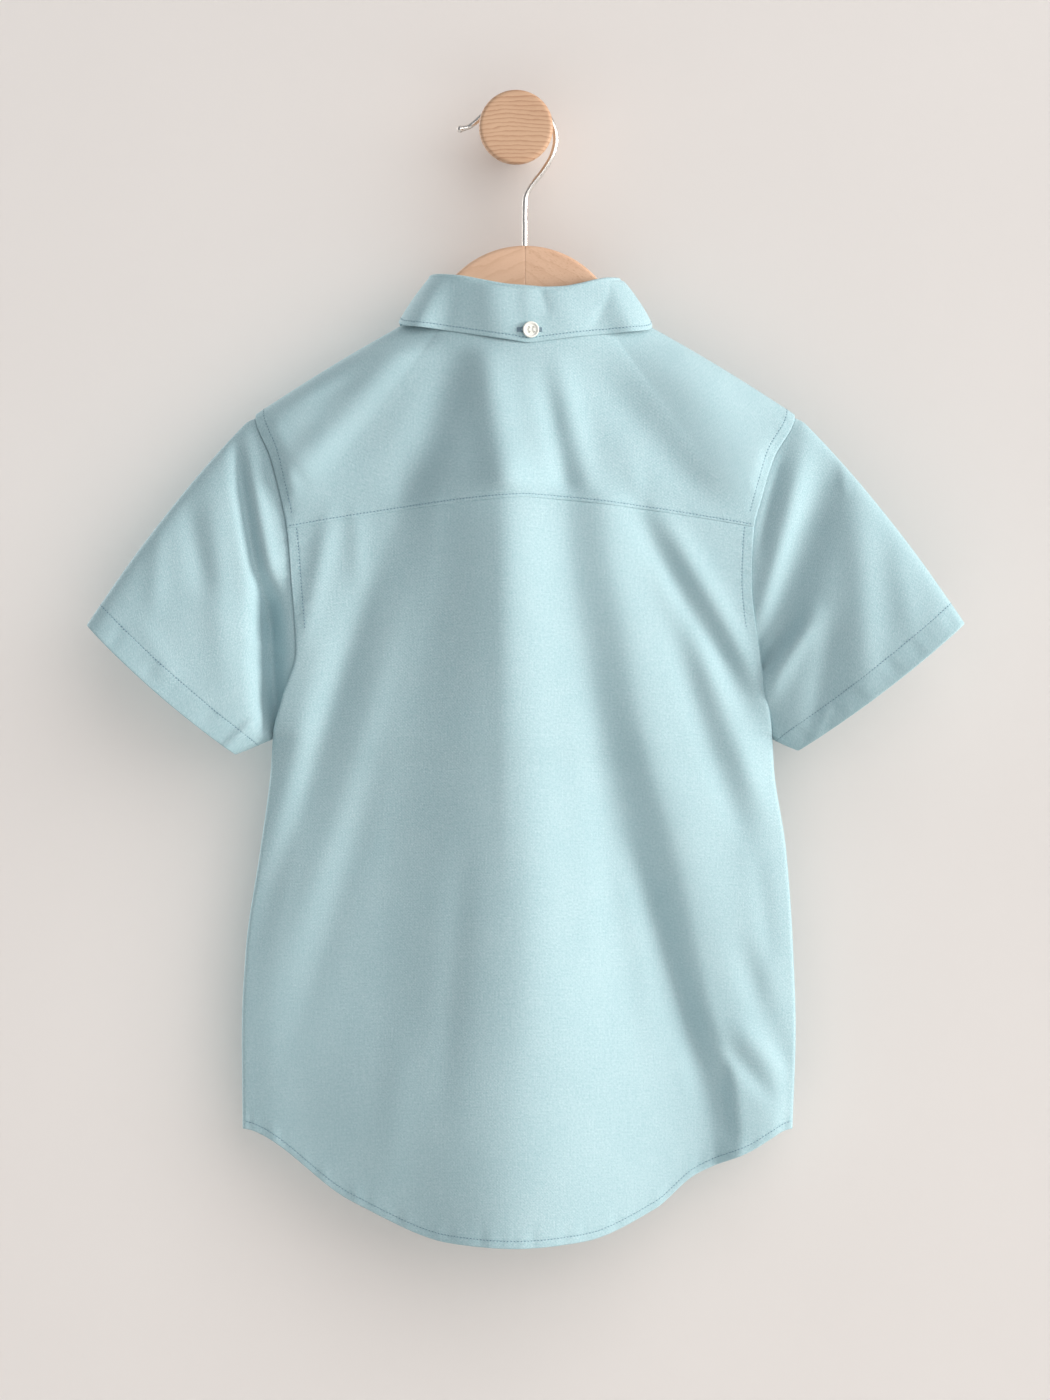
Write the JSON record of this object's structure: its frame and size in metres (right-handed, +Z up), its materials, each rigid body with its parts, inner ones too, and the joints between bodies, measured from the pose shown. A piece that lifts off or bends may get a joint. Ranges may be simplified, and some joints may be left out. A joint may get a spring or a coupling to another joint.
{
  "type": "short sleeve shirt on a wooden hanger and wall peg",
  "caption": "Plain short sleeve collared shirt with a back yoke and curved hem, buttoned up, hanging from a wooden hanger on a round wall peg.",
  "frame": {"origin": "centre of the wall peg's flat back face, where it meets the wall", "axes": "+Z up; +Y into the wall, out of the peg's back face, so the shirt's back faces -Y; +X towards the wearer's right side"},
  "size_m": [0.5418, 0.0916, 0.7155],
  "materials": {
    "shirt_cloth": "pale blue-green cotton oxford weave, soft sheen",
    "buttons": "ivory, polished",
    "hanger_wood": "pale beech, satin lacquer",
    "hook_wire": "satin nickel plate",
    "peg_wood": "bare turned oak, matt"
  },
  "bodies": {
    "root": {"back_panel": "shirt_cloth", "back_yoke": "shirt_cloth", "left_front": "shirt_cloth", "right_front": "shirt_cloth", "placket": "shirt_cloth", "sleeve_left": "shirt_cloth", "sleeve_right": "shirt_cloth", "collar_stand": "shirt_cloth", "collar_leaf": "shirt_cloth", "collar_back_button": "buttons", "collar_front_button": "buttons", "front_button_1": "buttons", "front_button_2": "buttons", "front_button_3": "buttons", "front_button_4": "buttons", "front_button_5": "buttons", "front_button_6": "buttons", "hanger_left": "hanger_wood", "hanger_right": "hanger_wood", "hanger_hook": "hook_wire", "wall_peg": "peg_wood"}
  },
  "joints": []
}
